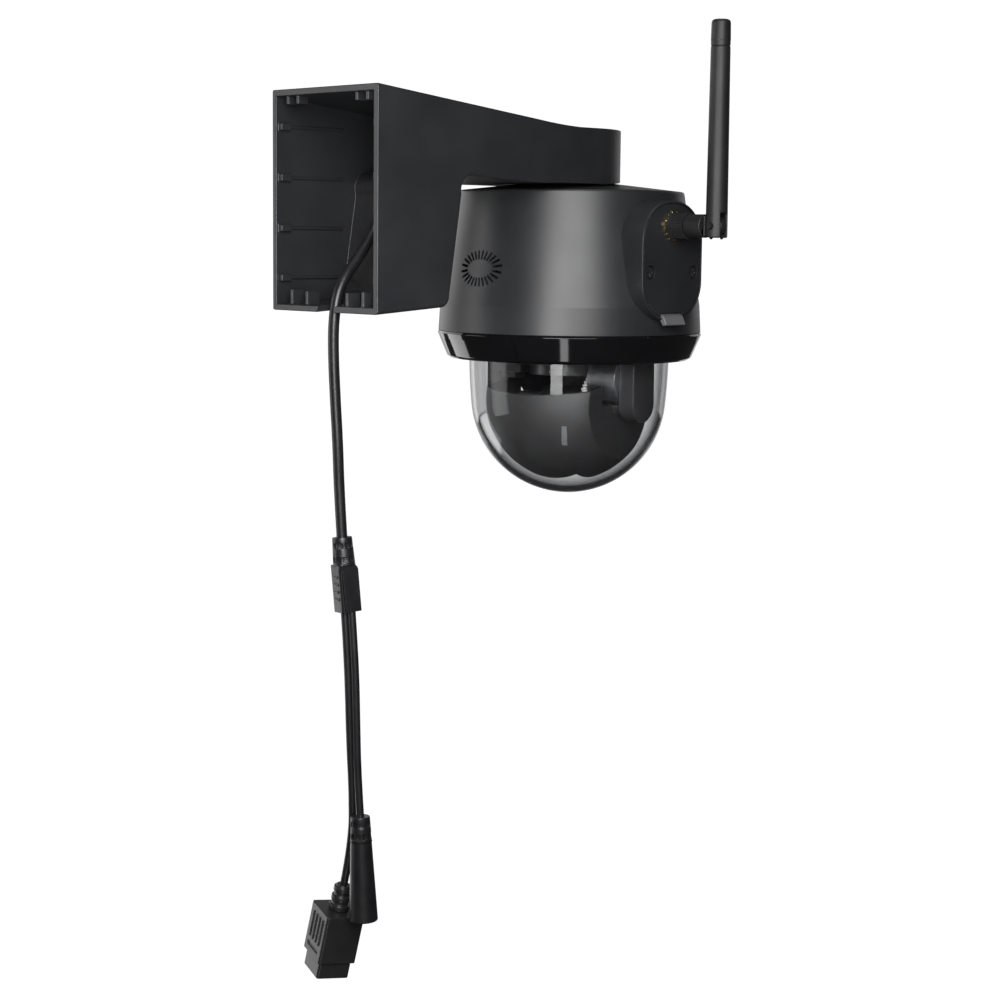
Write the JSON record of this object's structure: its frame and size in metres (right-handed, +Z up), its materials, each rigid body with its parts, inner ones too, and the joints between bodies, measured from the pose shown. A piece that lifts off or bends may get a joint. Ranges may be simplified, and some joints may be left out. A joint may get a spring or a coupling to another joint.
{
  "type": "security camera",
  "caption": "Pan-tilt security camera with a clear dome, ring housing, folding antenna, hollow wall arm and a hanging lead with power and network sockets.",
  "frame": {"origin": "centre of the bracket's open rear face, where it meets the wall", "axes": "+Z up; +Y into the wall, so the arm reaches out along -Y; antenna and service cover on -X"},
  "size_m": [0.1702, 0.2279, 0.461],
  "materials": {
    "charcoal": "satin fine-textured coating",
    "gloss_black": "polished",
    "clear_dome": "clear, glossy",
    "matte_black": "matte",
    "satin_black": "satin",
    "gasket_rubber": "matte",
    "cable_rubber": "semi-gloss",
    "zinc_steel": "satin",
    "motor_steel": "brushed",
    "gold_brass": "bright plated",
    "board_green": "satin",
    "white_plastic": "satin",
    "grey_plastic": "satin",
    "lens_coating": "coated, glossy",
    "smoked_window": "smoked, glossy"
  },
  "bodies": {
    "housing": {"wall_bracket": "charcoal", "arm_gasket": "gasket_rubber", "arm_screws": "zinc_steel", "cable_gland": "satin_black", "cable_boot": "cable_rubber", "housing_shell": "charcoal", "speaker": "satin_black", "side_cover": "charcoal", "side_cover_gasket": "gasket_rubber", "side_cover_screws": "satin_black", "cover_pull_tab": "grey_plastic", "antenna_connector": "gold_brass", "connector_washer": "gold_brass", "connector_nut": "satin_black", "antenna_coupling_nut": "satin_black", "trim_ring": "gloss_black", "ring_screws": "zinc_steel", "dome_window": "clear_dome", "dome_gasket": "gasket_rubber", "dome_retainer": "satin_black", "chassis_plate": "satin_black", "chassis_screws": "zinc_steel", "pan_bearing": "white_plastic", "pan_motor": "motor_steel", "main_board": "board_green", "board_standoffs": "white_plastic", "slip_ring": "satin_black", "card_board": "board_green", "memory_card": "satin_black", "main_lead": "cable_rubber", "lead_splitter": "cable_rubber", "network_tail": "cable_rubber", "network_socket": "satin_black", "network_contacts": "gold_brass", "power_tail": "cable_rubber", "power_socket": "cable_rubber", "power_pin": "gold_brass"},
    "reset_plunger": {"reset_button": "white_plastic"},
    "antenna_base": {"antenna_barrel": "matte_black", "antenna_hinge_pin": "matte_black"},
    "antenna_arm": {"antenna_whip": "matte_black", "antenna_cap": "matte_black"},
    "pan_drive": {"pan_pinion": "white_plastic"},
    "pan_unit": {"pan_gear": "white_plastic", "turntable": "satin_black", "pan_retainer": "zinc_steel", "tilt_motor": "motor_steel", "tilt_motor_plate": "zinc_steel", "inner_shroud": "matte_black", "cable_clamp": "satin_black"},
    "tilt_drive": {"tilt_pinion": "white_plastic"},
    "camera": {"camera_housing": "matte_black", "lens_barrel": "satin_black", "lens_glass": "lens_coating", "sensor_board": "board_green", "lamp_board": "board_green", "lamp_window": "smoked_window", "tilt_gear": "white_plastic", "tilt_axle": "zinc_steel"}
  },
  "joints": [
    {"name": "pan", "type": "hinge", "parent": "housing", "child": "pan_unit", "pos_m": [0, -0.1605, -0.05], "axis": [0, 0, 1], "range_deg": [-180, 170]},
    {"name": "tilt", "type": "hinge", "parent": "pan_unit", "child": "camera", "pos_m": [0, -0.1605, -0.0975], "axis": [0.9781, 0.2079, 0], "range_deg": [0, 90]},
    {"name": "pan_drive_spin", "type": "hinge", "parent": "housing", "child": "pan_drive", "pos_m": [-0.01158, -0.19231, -0.058], "axis": [0, 0, 1], "range_deg": [-1030, 1090]},
    {"name": "tilt_drive_spin", "type": "hinge", "parent": "pan_unit", "child": "tilt_drive", "pos_m": [-0.00054, -0.15796, -0.08095], "axis": [0.9781, 0.2079, 0], "range_deg": [-365, 5]},
    {"name": "antenna_swivel", "type": "hinge", "parent": "housing", "child": "antenna_base", "pos_m": [-0.085, -0.1605, -0.0095], "axis": [1, 0, 0], "continuous": true},
    {"name": "antenna_fold", "type": "hinge", "parent": "antenna_base", "child": "antenna_arm", "pos_m": [-0.0976, -0.1605, -0.0095], "axis": [0, -1, 0], "range_deg": [0, 90]},
    {"name": "reset_press", "type": "slide", "parent": "housing", "child": "reset_plunger", "axis": [1, 0, 0], "range_m": [0, 0.0004], "stiffness_N_per_m": 300}
  ],
  "couplings": [
    {"joint": "pan_drive_spin", "follows": "pan", "ratio": -6},
    {"joint": "tilt_drive_spin", "follows": "tilt", "ratio": -4}
  ]
}
